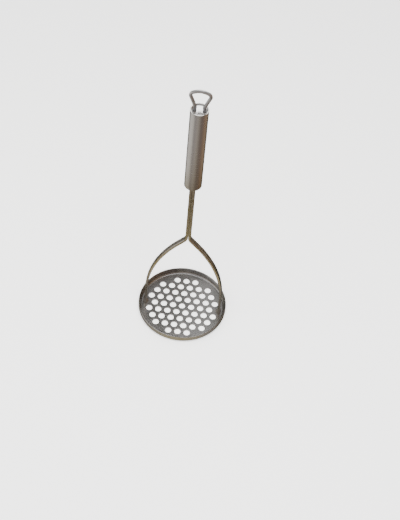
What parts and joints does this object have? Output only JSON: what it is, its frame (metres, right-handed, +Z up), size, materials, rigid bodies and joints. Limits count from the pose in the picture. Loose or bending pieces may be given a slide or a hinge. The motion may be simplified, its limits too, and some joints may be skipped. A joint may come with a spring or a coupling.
{
  "type": "potato masher",
  "caption": "Steel potato masher: a round perforated dish on two bent strip arms, with a tubular handle and a wire hanging loop.",
  "frame": {"origin": "centre of the dish's underside, on the surface it stands on", "axes": "+Z up along the handle, X across the two arms, -Y towards the viewer"},
  "size_m": [0.1, 0.1, 0.3295],
  "materials": {
    "handle_steel": "fine brushed stainless steel, satin",
    "cap_steel": "polished stainless steel",
    "wire_steel": "polished stainless steel wire",
    "strip_steel": "satin stainless steel strip, tumbled edges",
    "plate_steel": "pressed stainless steel sheet, semi-bright",
    "weld_steel": "rippled weld metal, brushed clean"
  },
  "bodies": {
    "root": {"masher_plate": "plate_steel", "arm_left": "strip_steel", "arm_right": "strip_steel", "foot_weld_left_inner": "weld_steel", "foot_weld_left_outer": "weld_steel", "foot_weld_right_inner": "weld_steel", "foot_weld_right_outer": "weld_steel", "handle_base_cap": "handle_steel", "handle_tube": "handle_steel", "handle_end_cap": "cap_steel", "hanging_loop": "wire_steel", "loop_weld_left": "weld_steel", "loop_weld_right": "weld_steel"}
  },
  "joints": []
}
